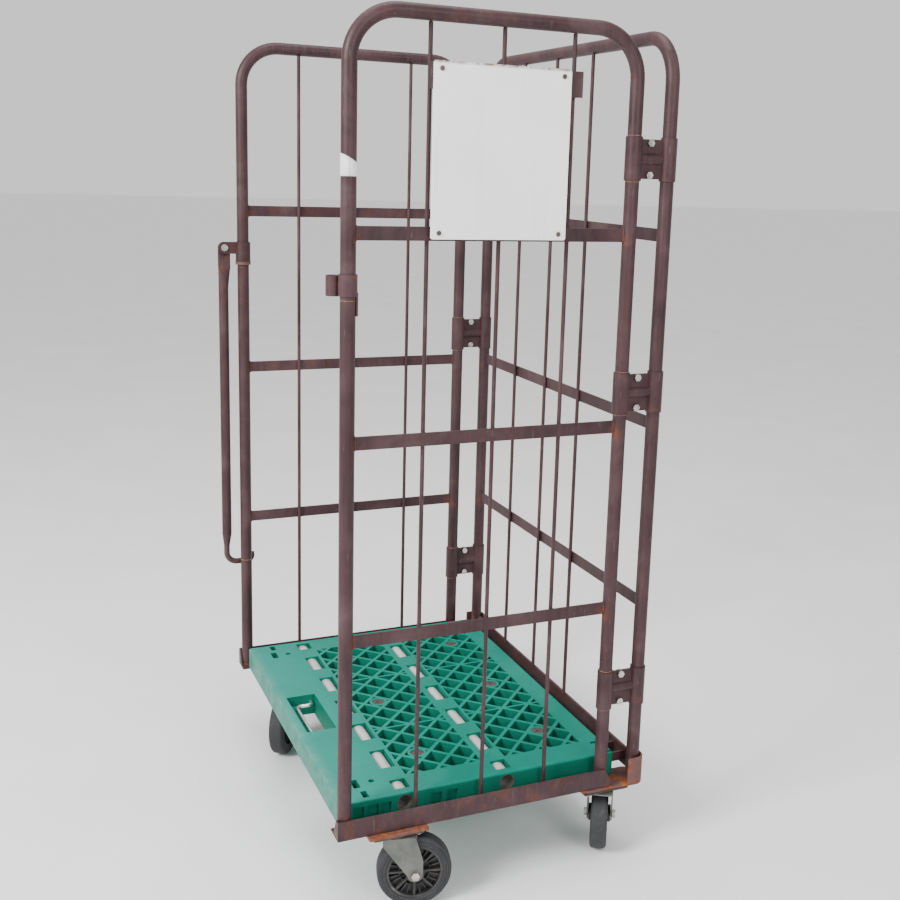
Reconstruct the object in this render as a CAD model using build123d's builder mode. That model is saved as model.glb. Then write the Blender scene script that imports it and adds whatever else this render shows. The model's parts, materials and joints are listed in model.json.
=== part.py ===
from build123d import *
import math
import os

# Roll cage container: two hinged tube sides, a back frame, a lift-up moulded deck, a swing latch bar
# and four swivel casters. Millimetres, +Z up, floor at z = 0, open front towards -Y.
# The origin is on the floor under the middle of the cage.

# ---------------------------------------------------------------- driving dimensions
cage_top = 1700.0
post_x = 425.0
front_post_y = -298.0
pivot_post_y = 260.0
back_post_y = 337.0

tube_r = 13.6
tube_wall = 1.6
hoop_bend_r = 87.0
hoop_top_z = cage_top - tube_r

rail_heights = [1312.0, 938.0, 560.0]
rail_tall = 25.0
rail_thick = 4.5
rod_r = 4.0
rod_spacing = 140.0
rod_row_x = post_x - rail_thick / 2 - rod_r - 0.05
right_rod_shift = -11.0
left_rod_shift = -24.0
back_rod_spacing = 167.0
back_rod_shift = 33.5
back_rod_y = back_post_y - rail_thick / 2 - rod_r - 0.05
rod_top_z = hoop_top_z - tube_r - 0.05

base_bottom_z = 166.0
base_thick = 4.0
base_top_z = 206.0
base_floor_z = base_bottom_z + base_thick
base_outer_x = post_x + tube_r + 0.2 + base_thick
base_flange_inner_x = 395.0
base_front_y = front_post_y - 17.8
base_rear_y = pivot_post_y + 15.0
base_cut_long = 14.0
base_cut_tall = 22.0
end_plate_top = 14.0
end_plate_foot = 30.0

back_rail_bottom_z = 180.0
back_rail_tall = 42.0
back_rail_thick = 6.0

plate_top_z = 165.7
plate_bottom_z = 159.7
skirt_top_z = 221.0

clamp_heights = [1456.0, 1005.0, 380.0]
clamp_tall = 82.0
clamp_web_tall = 74.0
clamp_sheet = 2.5
clamp_split = 0.15
running_gap = 0.3
fixed_gap = 0.02
clamp_bead_r = 12.5
clamp_bead_run = 6.0
clamp_bolt_z = 30.0
clamp_bolt_y = pivot_post_y + 34.0

deck_half_x = 402.0
deck_front_y = -300.0
deck_rear_y = 304.0
deck_bottom_z = 170.3
deck_top_z = 219.0
deck_floor_z = 176.0
deck_tube_rows = [-166.0, 55.0]
deck_tube_z = 198.0
deck_tube_r = 17.0
deck_tube_wall = 2.0
window_pitch = 128.6
window_long = 76.0
window_wide = 33.0
end_window_long = 36.0
lattice_half_x = 336.0
lattice_pitch = 64.3
lattice_panels = [(-142.0, 24.0), (78.0, 256.0)]
lattice_reach = 300.0
rib_thick = 8.0
splitter_thick = 6.0
screw_rows = [-89.0, 194.0]
screw_spacing = 2 * window_pitch
screw_island_r = 20.0
screw_disc_r = 13.5
screw_disc_thick = 2.2
screw_recess = 3.0
screw_recess_r = 14.0
screw_shank_r = 2.95
screw_hole_r = 3.0
screw_length = 24.0
screw_socket_r = 4.0
deck_corner_r = 6.0
deck_edge_r = 4.0
side_groove_spots = [-262.0, -232.0, -206.0, -100.0, -66.0]
side_groove_wide = 22.0
side_groove_deep = 6.0
side_groove_tall = 30.0
border_pocket_z = deck_floor_z + 8.0
slot_half_x = 90.0
slot_front_y = -281.0
slot_rear_y = -215.0
slot_ledge_y = -257.0
slot_ledge_z = 196.0

hinge_y = 290.0
hinge_z = 204.0
hinge_half_spacing = 372.0
hinge_pin_r = 4.0
pin_clearance = 0.08
ear_thick = 5.0
ear_gap = 40.0
ear_r = 10.0

bail_r = 4.0
bail_pivot_y = -223.0
bail_bar_y = -262.0
bail_z = slot_ledge_z + running_gap + bail_r
bail_half_x = 75.0
bail_bend_r = 12.0

latch_z = 1225.0
latch_rivet_y = front_post_y - 44.0
latch_offset = 21.2
socket_x = post_x - 20.0
hook_z = 439.0
hook_bend_r = 25.0
hook_rod_r = 7.0
hook_tip_bend_r = 12.0
hook_tip_tall = 20.0
socket_sleeve_bottom_z = 1203.0
socket_sleeve_top_z = 1241.0
socket_hole_bottom_z = 1202.0
socket_hole_top_z = 1238.0
socket_r = 12.5
socket_hole_r = 9.5
sleeve_wall = 3.4
rest_ring_bottom_z = 1186.0
rest_ring_tall = 6.7
rest_ring_r = 18.0
collar_bottom_z = 1193.0
collar_tall = 46.0
bar_plate_bottom_z = 1175.0
rivet_r = 4.98
rivet_head_r = 8.0
rivet_head_thick = 3.5
bar_tube_r = 11.5
bar_tube_wall = 2.0

wheel_r = 74.0
tread_wide = 36.0
hub_r = 56.0
caster_trail = 38.0
kingpin_r = 6.0
axle_r = 6.0
fork_inner = 24.0
fork_sheet = 3.0
top_plate_z = 156.7
race_bottom_z = 154.2
race_r = 26.0
kingpin_head_z = 143.6
kingpin_head_flats = 10.0
caster_plate_wide = 54.0
caster_plate_long = 104.0
caster_bolt_wide = 38.0
caster_bolt_long = 80.0
caster_bolt_r = 3.95
caster_bolt_hole_r = 4.0
caster_bolt_flats = 6.5
caster_bolt_head = 2.4
crown_middle = 5.5
crown_long = 73.0
crown_round = 10.0
cheek_r = 15.0
cheek_back = -26.0
cheek_back_tall = 12.0
rim_wide = tread_wide - 4.0
rim_thick = 5.0
web_thick = 9.0
boss_r = 18.0
spoke_count = 8
spoke_middle_r = 34.0
spoke_long = 38.0
spoke_thick = 4.0
spoke_wide = 28.0
tyre_shoulder_r = 8.0
axle_nut_flats = 7.5
axle_nut_thick = 7.0
crown_top_z = 153.9
crown_bottom_z = 150.9
mount_x = 416.0
front_kingpin = (427.0, -195.0)
inboard_kingpin = (-290.0, -224.0)
rear_kingpin_x = 421.0
rear_kingpin_y = 266.0

os.makedirs("parts", exist_ok=True)


def save(builder, label):
    """Label a finished piece and write it as one STEP file."""
    builder.part.label = label
    export_step(builder.part, "parts/" + label + ".step")


# ---------------------------------------------------------------- tube hoops, rails and rods
def make_hoop(label, start, end, foot_z):
    """Bent tube that rises at start, crosses the top and comes down at end."""
    corners = [
        (start[0], start[1], foot_z),
        (start[0], start[1], hoop_top_z),
        (end[0], end[1], hoop_top_z),
        (end[0], end[1], foot_z),
    ]
    with BuildLine() as path:
        FilletPolyline(*corners, radius=hoop_bend_r)
    with BuildPart() as hoop:
        with BuildSketch(Plane(origin=(start[0], start[1], foot_z), z_dir=(0, 0, 1))):
            Circle(tube_r)
            Circle(tube_r - tube_wall, mode=Mode.SUBTRACT)
        sweep(path=path.line)
    save(hoop, label)


def make_side_rails(label, x):
    """Flat bars that join the two posts of a side panel."""
    length = pivot_post_y - front_post_y - 2 * (tube_r + fixed_gap)
    middle_y = (pivot_post_y + front_post_y) / 2
    with BuildPart() as rails:
        for height in rail_heights:
            with Locations((x, middle_y, height)):
                Box(rail_thick, length, rail_tall)
    save(rails, label)


def make_rods(label, points, foot_z):
    """Thin upright rods from the base rail to the top tube."""
    with BuildPart() as rods:
        with BuildSketch(Plane.XY.offset(foot_z)):
            with Locations(*points):
                Circle(rod_r)
        extrude(amount=rod_top_z - foot_z)
    save(rods, label)


def side_rod_points(x, shift):
    """Plan positions of the three rods of a side panel."""
    return [(x, shift + step * rod_spacing) for step in (-1, 0, 1)]


def make_base_rail(label, side):
    """Angle section under a side panel, with a closing plate across its front end."""
    length = base_rear_y - base_front_y
    middle_y = (base_rear_y + base_front_y) / 2
    flange_wide = base_outer_x - base_flange_inner_x
    flange_x = side * (base_outer_x + base_flange_inner_x) / 2
    wall_x = side * (base_outer_x - base_thick / 2)
    with BuildPart() as rail:
        with Locations((flange_x, middle_y, base_bottom_z + base_thick / 2)):
            Box(flange_wide, length, base_thick)
        with Locations((wall_x, middle_y, (base_bottom_z + base_top_z) / 2)):
            Box(base_thick, length, base_top_z - base_bottom_z)
        with BuildSketch(Plane.XZ.offset(-base_front_y)):
            with BuildLine():
                Polyline(
                    (side * base_outer_x, base_bottom_z),
                    (side * base_outer_x, base_top_z),
                    (side * (base_outer_x - end_plate_top), base_top_z),
                    (side * (base_outer_x - end_plate_foot), base_floor_z),
                    (side * (base_outer_x - end_plate_foot), base_bottom_z),
                    close=True,
                )
            make_face()
        extrude(amount=-base_thick)
        with BuildSketch(Plane.YZ.offset(side * base_outer_x)):
            with BuildLine():
                Polyline(
                    (base_rear_y, base_top_z),
                    (base_rear_y - base_cut_long, base_top_z),
                    (base_rear_y, base_top_z - base_cut_tall),
                    close=True,
                )
            make_face()
        extrude(amount=-side * base_thick, mode=Mode.SUBTRACT)
    save(rail, label)


make_hoop("right_hoop", (post_x, front_post_y), (post_x, pivot_post_y), base_floor_z)
make_hoop("left_hoop", (-post_x, front_post_y), (-post_x, pivot_post_y), base_floor_z)
make_hoop("back_hoop", (-post_x, back_post_y), (post_x, back_post_y), plate_top_z)
make_side_rails("right_cross_rails", post_x)
make_side_rails("left_cross_rails", -post_x)
make_rods("right_rods", side_rod_points(rod_row_x, right_rod_shift), base_floor_z)
make_rods("left_rods", side_rod_points(-rod_row_x, left_rod_shift), base_floor_z)
make_base_rail("right_base_rail", 1)
make_base_rail("left_base_rail", -1)

back_span = 2 * (post_x - tube_r - fixed_gap)
with BuildPart() as back_rails:
    for rail_z in rail_heights:
        with Locations((0, back_post_y, rail_z)):
            Box(back_span, rail_thick, rail_tall)
save(back_rails, "back_cross_rails")

back_rod_steps = (-1.5, -0.5, 0.5, 1.5)
back_rod_points = [(back_rod_shift + step * back_rod_spacing, back_rod_y) for step in back_rod_steps]
make_rods("back_rods", back_rod_points, back_rail_bottom_z + back_rail_tall + fixed_gap)

with BuildPart() as back_base_rail:
    with Locations((0, back_post_y, back_rail_bottom_z + back_rail_tall / 2)):
        Box(back_span, back_rail_thick, back_rail_tall)
save(back_base_rail, "back_base_rail")


# ---------------------------------------------------------------- rear corner plates
corner_inner_x = 376.0
corner_outer_x = 447.0
corner_front_y = pivot_post_y - 53.0
corner_rear_y = back_post_y + 21.0
corner_wide = corner_outer_x - corner_inner_x
corner_deep = corner_rear_y - corner_front_y
corner_middle_y = (corner_front_y + corner_rear_y) / 2
corner_round = 22.0
skirt_thick = 4.0
skirt_inner_x = 406.0
skirt_front_y = 316.0
skirt_region = 60.0

with BuildPart() as corner_plates:
    for side in (1, -1):
        middle = (side * (corner_inner_x + corner_outer_x) / 2, corner_middle_y)
        with BuildSketch(Plane.XY.offset(plate_bottom_z)):
            with Locations(middle):
                RectangleRounded(corner_wide, corner_deep, corner_round)
        extrude(amount=plate_top_z - plate_bottom_z)
        with BuildSketch(Plane.XY.offset(plate_top_z)):
            with Locations(middle):
                RectangleRounded(corner_wide, corner_deep, corner_round)
                RectangleRounded(
                    corner_wide - 2 * skirt_thick,
                    corner_deep - 2 * skirt_thick,
                    corner_round - skirt_thick,
                    mode=Mode.SUBTRACT,
                )
            with Locations((side * (skirt_inner_x + skirt_region / 2), skirt_front_y + skirt_region / 2)):
                Rectangle(skirt_region, skirt_region, mode=Mode.INTERSECT)
        extrude(amount=skirt_top_z - plate_top_z)
save(corner_plates, "rear_corner_plates")


# ---------------------------------------------------------------- hinge clamps
clamp_pivot_r = tube_r + running_gap
clamp_back_r = tube_r + fixed_gap
clamp_middle_y = (pivot_post_y + back_post_y) / 2
clamp_web_wide = back_post_y - pivot_post_y - 2 * (clamp_pivot_r + clamp_sheet)
clamp_reach = 80.0
clamp_bead_sink = -6.5
bead_root = clamp_split + clamp_sheet - 0.4
bolt_r = 4.0
bolt_head_flats = 6.5
bolt_head_thick = 5.5


def clamp_profile(side, face):
    """Plan outline of one pressed shell: two half sleeves joined by a flat web."""
    edge_x = side * post_x + face * clamp_split
    with Locations((side * post_x, pivot_post_y)):
        Circle(clamp_pivot_r + clamp_sheet)
    with Locations((side * post_x, back_post_y)):
        Circle(clamp_back_r + clamp_sheet)
    with Locations((edge_x + face * clamp_sheet / 2, clamp_middle_y)):
        Rectangle(clamp_sheet, back_post_y - pivot_post_y)
    with Locations((side * post_x, pivot_post_y)):
        Circle(clamp_pivot_r, mode=Mode.SUBTRACT)
    with Locations((side * post_x, back_post_y)):
        Circle(clamp_back_r, mode=Mode.SUBTRACT)
    with Locations((edge_x - face * clamp_reach / 2, clamp_middle_y)):
        Rectangle(clamp_reach, 2 * clamp_reach, mode=Mode.SUBTRACT)


def make_clamp_shells(label, face):
    """Pressed shells on one face of both rear corners; face is +1 outwards, -1 inwards."""
    bead_start_y = clamp_middle_y - clamp_web_wide / 2 - clamp_bead_run
    bead_long = clamp_web_wide + 2 * clamp_bead_run
    with BuildPart() as shells:
        for side in (1, -1):
            outward = side * face
            web_x = side * post_x + outward * (clamp_split + clamp_sheet / 2)
            bead_x = side * post_x + outward * (clamp_split + clamp_sheet + clamp_bead_sink)
            for height in clamp_heights:
                with BuildSketch(Plane.XY.offset(height - clamp_tall / 2)):
                    clamp_profile(side, outward)
                extrude(amount=clamp_tall)
                for end in (1, -1):
                    with Locations((web_x, clamp_middle_y, height + end * clamp_tall / 2)):
                        Box(clamp_sheet + 2, clamp_web_wide, clamp_tall - clamp_web_tall, mode=Mode.SUBTRACT)
                with BuildSketch(Plane.XZ.offset(-bead_start_y)):
                    with Locations((bead_x, height)):
                        Circle(clamp_bead_r)
                    with Locations((side * post_x - outward * clamp_reach / 2, height)):
                        Rectangle(clamp_reach + 2 * bead_root, clamp_reach, mode=Mode.SUBTRACT)
                extrude(amount=-bead_long)
                with Locations((side * post_x, pivot_post_y, height)):
                    Cylinder(clamp_pivot_r, clamp_tall + 2, mode=Mode.SUBTRACT)
                with Locations((side * post_x, back_post_y, height)):
                    Cylinder(clamp_back_r, clamp_tall + 2, mode=Mode.SUBTRACT)
                for end in (1, -1):
                    bolt_at = (web_x, clamp_bolt_y, height + end * clamp_bolt_z)
                    with Locations(Plane(origin=bolt_at, z_dir=(1, 0, 0))):
                        Cylinder(bolt_r, 12, mode=Mode.SUBTRACT)
    save(shells, label)


make_clamp_shells("hinge_clamps_outer", 1)
make_clamp_shells("hinge_clamps_inner", -1)


bolt_spots = [(clamp_bolt_y, height + end * clamp_bolt_z) for height in clamp_heights for end in (1, -1)]
with BuildPart() as clamp_bolts:
    clamp_grip = clamp_split + clamp_sheet
    for corner in (1, -1):
        middle_x = corner * post_x
        for face in (1, -1):
            with BuildSketch(Plane.YZ.offset(middle_x + face * clamp_grip)):
                with Locations(*bolt_spots):
                    RegularPolygon(bolt_head_flats, 6, major_radius=False)
            extrude(amount=face * bolt_head_thick)
        with BuildSketch(Plane.YZ.offset(middle_x)):
            with Locations(*bolt_spots):
                Circle(bolt_r)
        extrude(amount=clamp_grip + bolt_head_thick, both=True)
save(clamp_bolts, "clamp_bolts")


# ---------------------------------------------------------------- deck
screw_points = [(step * screw_spacing, row) for row in screw_rows for step in (-1, 0, 1)]
end_window_x = 3 * window_pitch - (window_long - end_window_long) / 2
ear_slot_long = 42.0

with BuildPart() as deck:
    with BuildSketch(Plane.XY.offset(deck_bottom_z)):
        with Locations((0, (deck_front_y + deck_rear_y) / 2)):
            RectangleRounded(2 * deck_half_x, deck_rear_y - deck_front_y, deck_corner_r)
    extrude(amount=deck_top_z - deck_bottom_z)
    fillet(deck.faces().sort_by(Axis.Z)[-1].outer_wire().edges(), radius=deck_edge_r)
    for row_y in deck_tube_rows:
        with Locations(Plane(origin=(0, row_y, deck_tube_z), z_dir=(1, 0, 0))):
            Cylinder(deck_tube_r, 2 * deck_half_x + 2, mode=Mode.SUBTRACT)
        with BuildSketch(Plane.XY.offset(deck_floor_z)):
            with Locations(*[(step * window_pitch, row_y) for step in range(-2, 3)]):
                Rectangle(window_long, window_wide)
            with Locations((end_window_x, row_y), (-end_window_x, row_y)):
                Rectangle(end_window_long, window_wide)
        extrude(amount=deck_top_z - deck_floor_z, mode=Mode.SUBTRACT)
    for panel_front, panel_rear in lattice_panels:
        panel_y = (panel_front + panel_rear) / 2
        with BuildSketch(Plane.XY.offset(deck_floor_z)):
            with Locations((0, panel_y)):
                Rectangle(2 * lattice_half_x, panel_rear - panel_front)
            for step in range(-7, 8):
                for angle in (45, -45):
                    with Locations(Location((step * lattice_pitch, panel_y, 0), (0, 0, angle))):
                        Rectangle(lattice_reach, rib_thick, mode=Mode.SUBTRACT)
            with Locations((-window_pitch, panel_y), (window_pitch, panel_y)):
                Rectangle(splitter_thick, panel_rear - panel_front, mode=Mode.SUBTRACT)
            with Locations(*screw_points):
                Circle(screw_island_r, mode=Mode.SUBTRACT)
        extrude(amount=deck_top_z - deck_floor_z, mode=Mode.SUBTRACT)
    with BuildSketch(Plane.XY.offset(deck_top_z)):
        with Locations(*screw_points):
            Circle(screw_recess_r)
    extrude(amount=-screw_recess, mode=Mode.SUBTRACT)
    with BuildSketch(Plane.XY.offset(deck_top_z)):
        with Locations(*screw_points):
            Circle(screw_hole_r)
    extrude(amount=-screw_length - 2 * screw_recess, mode=Mode.SUBTRACT)
    with BuildSketch(Plane.XY.offset(deck_bottom_z - 1)):
        with Locations((0, (slot_ledge_y + slot_rear_y) / 2)):
            Rectangle(2 * slot_half_x, slot_rear_y - slot_ledge_y)
    extrude(amount=deck_top_z - deck_bottom_z + 2, mode=Mode.SUBTRACT)
    with BuildSketch(Plane.XY.offset(slot_ledge_z)):
        with Locations((0, (slot_front_y + slot_rear_y) / 2)):
            Rectangle(2 * slot_half_x, slot_rear_y - slot_front_y)
    extrude(amount=deck_top_z - slot_ledge_z + 1, mode=Mode.SUBTRACT)
    with Locations(Plane(origin=(0, bail_pivot_y, bail_z), z_dir=(1, 0, 0))):
        Cylinder(bail_r + pin_clearance, 2 * slot_half_x + 24, mode=Mode.SUBTRACT)
    with BuildSketch(Plane.XY.offset(border_pocket_z)):
        for end in (1, -1):
            with Locations((end * 380, -243)):
                Rectangle(24, 12)
            with Locations((end * 336, -249)):
                Rectangle(32, 14)
            with Locations((end * 335, -215)):
                Circle(6)
    extrude(amount=deck_top_z - deck_floor_z, mode=Mode.SUBTRACT)
    for end in (1, -1):
        with BuildSketch(Plane.XY.offset(deck_floor_z)):
            with Locations(*[(end * deck_half_x, spot) for spot in side_groove_spots]):
                Rectangle(2 * side_groove_deep, side_groove_wide)
        extrude(amount=side_groove_tall, mode=Mode.SUBTRACT)
        for ear_side in (1, -1):
            ear_x = end * hinge_half_spacing + ear_side * (ear_gap + ear_thick) / 2
            with Locations((ear_x, deck_rear_y - ear_slot_long / 6, (deck_bottom_z + deck_top_z) / 2)):
                Box(ear_thick + 3, ear_slot_long, 60, mode=Mode.SUBTRACT)
        with Locations(Plane(origin=(end * hinge_half_spacing, hinge_y, hinge_z), z_dir=(1, 0, 0))):
            Cylinder(hinge_pin_r + pin_clearance, ear_gap + 12, mode=Mode.SUBTRACT)
save(deck, "deck_board")

with BuildPart() as deck_tubes:
    for row_y in deck_tube_rows:
        with BuildSketch(Plane(origin=(-deck_half_x + 0.5, row_y, deck_tube_z), z_dir=(1, 0, 0))):
            Circle(deck_tube_r - 0.05)
            Circle(deck_tube_r - deck_tube_wall, mode=Mode.SUBTRACT)
        extrude(amount=2 * deck_half_x - 1)
save(deck_tubes, "deck_tubes")

with BuildPart() as deck_screws:
    with BuildSketch(Plane.XY.offset(deck_top_z - screw_recess)):
        with Locations(*screw_points):
            Circle(screw_disc_r)
    extrude(amount=screw_disc_thick)
    with BuildSketch(Plane.XY.offset(deck_top_z - screw_recess + 0.4)):
        with Locations(*screw_points):
            RegularPolygon(screw_socket_r, 6)
    extrude(amount=screw_disc_thick, mode=Mode.SUBTRACT)
    with BuildSketch(Plane.XY.offset(deck_top_z - screw_recess)):
        with Locations(*screw_points):
            Circle(screw_shank_r)
    extrude(amount=-screw_length)
save(deck_screws, "deck_screws")

with BuildPart() as hinge_brackets:
    rail_face_y = back_post_y - back_rail_thick / 2
    for end in (1, -1):
        for ear_side in (1, -1):
            ear_x = end * hinge_half_spacing + ear_side * (ear_gap + ear_thick) / 2
            with BuildSketch(Plane.YZ.offset(ear_x - ear_thick / 2)):
                with Locations((hinge_y, hinge_z)):
                    Circle(ear_r)
                with Locations(((hinge_y + rail_face_y) / 2, hinge_z)):
                    Rectangle(rail_face_y - hinge_y, 2 * ear_r)
            extrude(amount=ear_thick)
        with Locations(Plane(origin=(end * hinge_half_spacing, hinge_y, hinge_z), z_dir=(1, 0, 0))):
            Cylinder(hinge_pin_r, ear_gap + 2 * ear_thick + 1)
save(hinge_brackets, "deck_hinge_brackets")

bail_end_x = slot_half_x + 10
with BuildLine() as bail_path:
    FilletPolyline(
        (-bail_end_x, bail_pivot_y, bail_z),
        (-bail_half_x, bail_pivot_y, bail_z),
        (-bail_half_x, bail_bar_y, bail_z),
        (bail_half_x, bail_bar_y, bail_z),
        (bail_half_x, bail_pivot_y, bail_z),
        (bail_end_x, bail_pivot_y, bail_z),
        radius=bail_bend_r,
    )
with BuildPart() as bail:
    with BuildSketch(Plane(origin=(-bail_end_x, bail_pivot_y, bail_z), z_dir=(1, 0, 0))):
        Circle(bail_r)
    sweep(path=bail_path.line)
save(bail, "deck_handle")

# ---------------------------------------------------------------- sign board on the right side
board_inner_x = 438.0
board_thick = 3.0
board_half_y = 133.0
board_y = -19.0
board_bottom_z = 1303.0
board_top_z = 1608.0
board_screw_y = 118.0
board_screw_z = [1314.0, 1595.0]
board_screw_r = 2.0
board_screw_head_r = 4.5
board_screw_head_thick = 2.2
board_screw_long = 8.0
bracket_sheet = 2.0
bracket_arm = 3.0
bracket_z = 1583.0
bracket_tall = 46.0
lower_bracket = 18.0
board_screw_points = [(board_y + end * board_screw_y, z) for end in (1, -1) for z in board_screw_z]

with BuildPart() as sign_board:
    with BuildSketch(Plane.YZ.offset(board_inner_x)):
        with Locations((board_y, (board_bottom_z + board_top_z) / 2)):
            RectangleRounded(2 * board_half_y, board_top_z - board_bottom_z, 4)
        with Locations(*board_screw_points):
            Circle(board_screw_r, mode=Mode.SUBTRACT)
    extrude(amount=board_thick)
save(sign_board, "sign_board")

with BuildPart() as sign_screws:
    with BuildSketch(Plane.YZ.offset(board_inner_x + board_thick)):
        with Locations(*board_screw_points):
            Circle(board_screw_head_r)
    extrude(amount=board_screw_head_thick)
    with BuildSketch(Plane.YZ.offset(board_inner_x + board_thick)):
        with Locations(*board_screw_points):
            Circle(board_screw_r)
    extrude(amount=-board_screw_long)
save(sign_screws, "sign_screws")

rod_face_x = rod_row_x + rod_r
rail_face_x = post_x + rail_thick / 2
with BuildPart() as sign_brackets:
    for rod_step in (-1, 1):
        rod_y = right_rod_shift + rod_step * rod_spacing
        tab_y = board_y + rod_step * board_screw_y
        tab_wide = abs(rod_y - tab_y) + 20
        with Locations((board_inner_x - bracket_sheet / 2, (rod_y + tab_y) / 2, bracket_z)):
            Box(bracket_sheet, tab_wide, bracket_tall)
        with Locations(((rod_face_x + board_inner_x - bracket_sheet) / 2, rod_y, bracket_z)):
            Box(board_inner_x - rod_face_x - bracket_sheet, bracket_arm, bracket_tall)
        with Locations(((rail_face_x + board_inner_x) / 2, tab_y, board_screw_z[0])):
            Box(board_inner_x - rail_face_x, lower_bracket, lower_bracket)
    for screw_y, screw_z in board_screw_points:
        with Locations(Plane(origin=(board_inner_x, screw_y, screw_z), z_dir=(1, 0, 0))):
            Cylinder(board_screw_r, 12, mode=Mode.SUBTRACT)
save(sign_brackets, "sign_brackets")

# ---------------------------------------------------------------- latch
socket_y = front_post_y - latch_offset
socket_tab_wide = 14.0
socket_tab_thick = 3.4
socket_tab_tall = 42.0
socket_tab_z = 1189.0
with BuildPart() as socket:
    with BuildSketch(Plane.XY.offset(socket_sleeve_bottom_z)):
        with Locations((post_x, front_post_y)):
            Circle(tube_r + sleeve_wall)
    extrude(amount=socket_sleeve_top_z - socket_sleeve_bottom_z)
    with BuildSketch(Plane.XY.offset(socket_hole_bottom_z)):
        with Locations((socket_x, socket_y)):
            Circle(socket_r)
    extrude(amount=socket_hole_top_z - socket_hole_bottom_z)
    with Locations((post_x, front_post_y + tube_r + socket_tab_thick / 2, socket_tab_z)):
        Box(socket_tab_wide, socket_tab_thick, socket_tab_tall)
    with Locations((post_x, front_post_y, socket_sleeve_bottom_z)):
        Cylinder(tube_r + fixed_gap, 3 * socket_tab_tall, mode=Mode.SUBTRACT)
    with Locations((socket_x, socket_y, socket_hole_bottom_z)):
        Cylinder(socket_hole_r, 3 * socket_tab_tall, mode=Mode.SUBTRACT)
save(socket, "latch_socket")

with BuildPart() as rest_ring:
    with BuildSketch(Plane.XY.offset(rest_ring_bottom_z)):
        with Locations((-post_x, front_post_y)):
            Circle(rest_ring_r)
            Circle(tube_r + fixed_gap, mode=Mode.SUBTRACT)
    extrude(amount=rest_ring_tall)
save(rest_ring, "latch_rest_ring")

lug_thick = 5.0
lug_r = 14.0
with BuildPart() as collar:
    with BuildSketch(Plane.XY.offset(collar_bottom_z)):
        with Locations((-post_x, front_post_y)):
            Circle(tube_r + running_gap + sleeve_wall)
    extrude(amount=collar_tall)
    with BuildSketch(Plane.YZ.offset(-post_x - lug_thick / 2)):
        with Locations((latch_rivet_y, latch_z)):
            Circle(lug_r)
        with Locations(((latch_rivet_y + front_post_y) / 2, latch_z)):
            Rectangle(front_post_y - latch_rivet_y, 2 * lug_r)
    extrude(amount=lug_thick)
    with Locations((-post_x, front_post_y, collar_bottom_z)):
        Cylinder(tube_r + running_gap, 3 * collar_tall, mode=Mode.SUBTRACT)
    with Locations(Plane(origin=(-post_x, latch_rivet_y, latch_z), z_dir=(1, 0, 0))):
        Cylinder(rivet_r + fixed_gap, 3 * lug_thick, mode=Mode.SUBTRACT)
save(collar, "latch_collar")

bar_plate_thick = 6.0
bar_plate_round = 2.9
bar_plate_x = -post_x - lug_thick / 2 - running_gap - bar_plate_thick
bar_tube_x = -post_x - latch_offset + 4.0
bar_tube_top = 1130.0
hook_x = -post_x - latch_offset
bar_tube_bottom = 515.0
bar_cap_thick = 4.0
bar_taper_bottom = 482.0
with BuildPart() as rivet:
    with BuildSketch(Plane(origin=(-post_x + lug_thick / 2, latch_rivet_y, latch_z), z_dir=(1, 0, 0))):
        Circle(rivet_head_r)
    extrude(amount=rivet_head_thick)
    with BuildSketch(Plane(origin=(-post_x + lug_thick / 2, latch_rivet_y, latch_z), z_dir=(-1, 0, 0))):
        Circle(rivet_r)
    extrude(amount=lug_thick + bar_plate_thick + 3 * running_gap)
    with BuildSketch(Plane(origin=(bar_plate_x - running_gap, latch_rivet_y, latch_z), z_dir=(-1, 0, 0))):
        Circle(rivet_head_r)
    extrude(amount=rivet_head_thick)
save(rivet, "latch_rivet")

with BuildPart() as latch_bar:
    with BuildSketch(Plane.YZ.offset(bar_plate_x)):
        with Locations((latch_rivet_y, latch_z)):
            Circle(lug_r)
        with Locations((latch_rivet_y, (latch_z + bar_plate_bottom_z) / 2)):
            Rectangle(2 * lug_r, latch_z - bar_plate_bottom_z)
        with Locations((latch_rivet_y, latch_z)):
            Circle(rivet_r + pin_clearance, mode=Mode.SUBTRACT)
    extrude(amount=bar_plate_thick)
    with BuildSketch(Plane.XY.offset(bar_tube_top)):
        with Locations((bar_tube_x, latch_rivet_y)):
            Circle(bar_tube_r)
    with BuildSketch(Plane.XY.offset(bar_plate_bottom_z)):
        with Locations((bar_plate_x + bar_plate_thick / 2, latch_rivet_y)):
            RectangleRounded(bar_plate_thick, 2 * lug_r, bar_plate_round)
    loft()
    with BuildSketch(Plane.XY.offset(bar_tube_bottom)):
        with Locations((bar_tube_x, latch_rivet_y)):
            Circle(bar_tube_r)
    extrude(amount=bar_tube_top - bar_tube_bottom)
    with BuildSketch(Plane.XY.offset(bar_tube_bottom + bar_cap_thick)):
        with Locations((bar_tube_x, latch_rivet_y)):
            Circle(bar_tube_r - bar_tube_wall)
    extrude(amount=bar_tube_top - bar_tube_bottom - 2 * bar_cap_thick, mode=Mode.SUBTRACT)
    with BuildSketch(Plane.XY.offset(bar_tube_bottom)):
        with Locations((bar_tube_x, latch_rivet_y)):
            Circle(bar_tube_r)
    with BuildSketch(Plane.XY.offset(bar_taper_bottom)):
        with Locations((hook_x, latch_rivet_y)):
            Circle(hook_rod_r)
    loft()
save(latch_bar, "latch_bar")

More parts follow.
